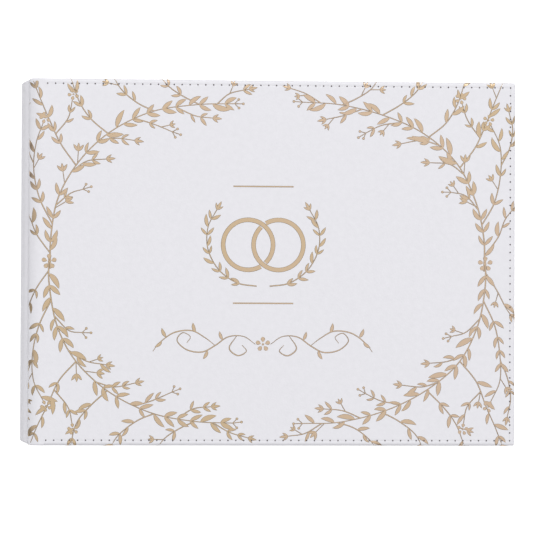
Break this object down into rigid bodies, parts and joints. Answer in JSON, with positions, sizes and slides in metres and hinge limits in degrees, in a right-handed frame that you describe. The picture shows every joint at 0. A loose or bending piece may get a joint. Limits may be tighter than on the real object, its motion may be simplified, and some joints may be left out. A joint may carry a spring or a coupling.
{
  "type": "wedding guest book",
  "caption": "Landscape hardcover guest book in white stitched leather with a rounded spine and a gold foil garland border; covers and front leaves open.",
  "frame": {"origin": "centre of the closed book's outline, on the face of the back cover that it lies on", "axes": "+X from the spine to the fore-edge, +Y from the tail to the head, +Z from the back cover to the front cover"},
  "size_m": [0.228, 0.168, 0.018],
  "materials": {
    "white_leather": "satin faux leather",
    "thread": "matte",
    "band_cloth": "matte",
    "mull_cloth": "matte",
    "foam": "matte",
    "spine_card": "matte",
    "cover_board": "matte",
    "endpaper": "matte",
    "page_paper": "matte"
  },
  "bodies": {
    "text_block": {"front_joint_leather": "white_leather", "back_joint_leather": "white_leather", "front_endpaper_joint": "endpaper", "back_endpaper_joint": "endpaper", "spine_leather": "white_leather", "spine_board": "spine_card", "spine_mull": "mull_cloth", "sewing_thread": "thread", "head_band": "band_cloth", "tail_band": "band_cloth", "signature_1": "page_paper", "signature_2": "page_paper", "signature_3": "page_paper", "signature_4": "page_paper", "signature_5": "page_paper", "signature_6": "page_paper", "signature_7": "page_paper", "signature_8": "page_paper", "back_flyleaf": "endpaper"},
    "front_cover": {"front_board": "cover_board", "front_foam": "foam", "front_leather": "white_leather", "front_stitching": "thread", "front_pastedown": "endpaper"},
    "back_cover": {"back_board": "cover_board", "back_foam": "foam", "back_leather": "white_leather", "back_stitching": "thread", "back_pastedown": "endpaper"},
    "front_flyleaf": {"front_flyleaf": "endpaper"},
    "leaf_1": {"leaf_1": "page_paper"},
    "leaf_2": {"leaf_2": "page_paper"},
    "leaf_3": {"leaf_3": "page_paper"}
  },
  "joints": [
    {"name": "front_cover_hinge", "type": "hinge", "parent": "text_block", "child": "front_cover", "pos_m": [-0.1087, 0, 0.0142], "axis": [0, -1, 0], "range_deg": [0, 180], "deforming": ["front_joint_leather", "front_endpaper_joint"]},
    {"name": "back_cover_hinge", "type": "hinge", "parent": "text_block", "child": "back_cover", "pos_m": [-0.1087, 0, 0.0038], "axis": [0, 1, 0], "range_deg": [0, 180], "deforming": ["back_joint_leather", "back_endpaper_joint"]},
    {"name": "front_flyleaf_hinge", "type": "hinge", "parent": "text_block", "child": "front_flyleaf", "pos_m": [-0.1087, 0, 0.0142], "axis": [0, -1, 0], "range_deg": [0, 155]},
    {"name": "leaf_1_hinge", "type": "hinge", "parent": "text_block", "child": "leaf_1", "pos_m": [-0.1087, 0, 0.0142], "axis": [0, -1, 0], "range_deg": [0, 140.6]},
    {"name": "leaf_2_hinge", "type": "hinge", "parent": "text_block", "child": "leaf_2", "pos_m": [-0.1087, 0, 0.0142], "axis": [0, -1, 0], "range_deg": [0, 111.8]},
    {"name": "leaf_3_hinge", "type": "hinge", "parent": "text_block", "child": "leaf_3", "pos_m": [-0.1087, 0, 0.0142], "axis": [0, -1, 0], "range_deg": [0, 75.8]}
  ],
  "couplings": [
    {"joint": "front_flyleaf_hinge", "follows": "front_cover_hinge", "ratio": 0.86},
    {"joint": "leaf_1_hinge", "follows": "front_cover_hinge", "ratio": 0.78},
    {"joint": "leaf_2_hinge", "follows": "front_cover_hinge", "ratio": 0.62},
    {"joint": "leaf_3_hinge", "follows": "front_cover_hinge", "ratio": 0.42}
  ]
}
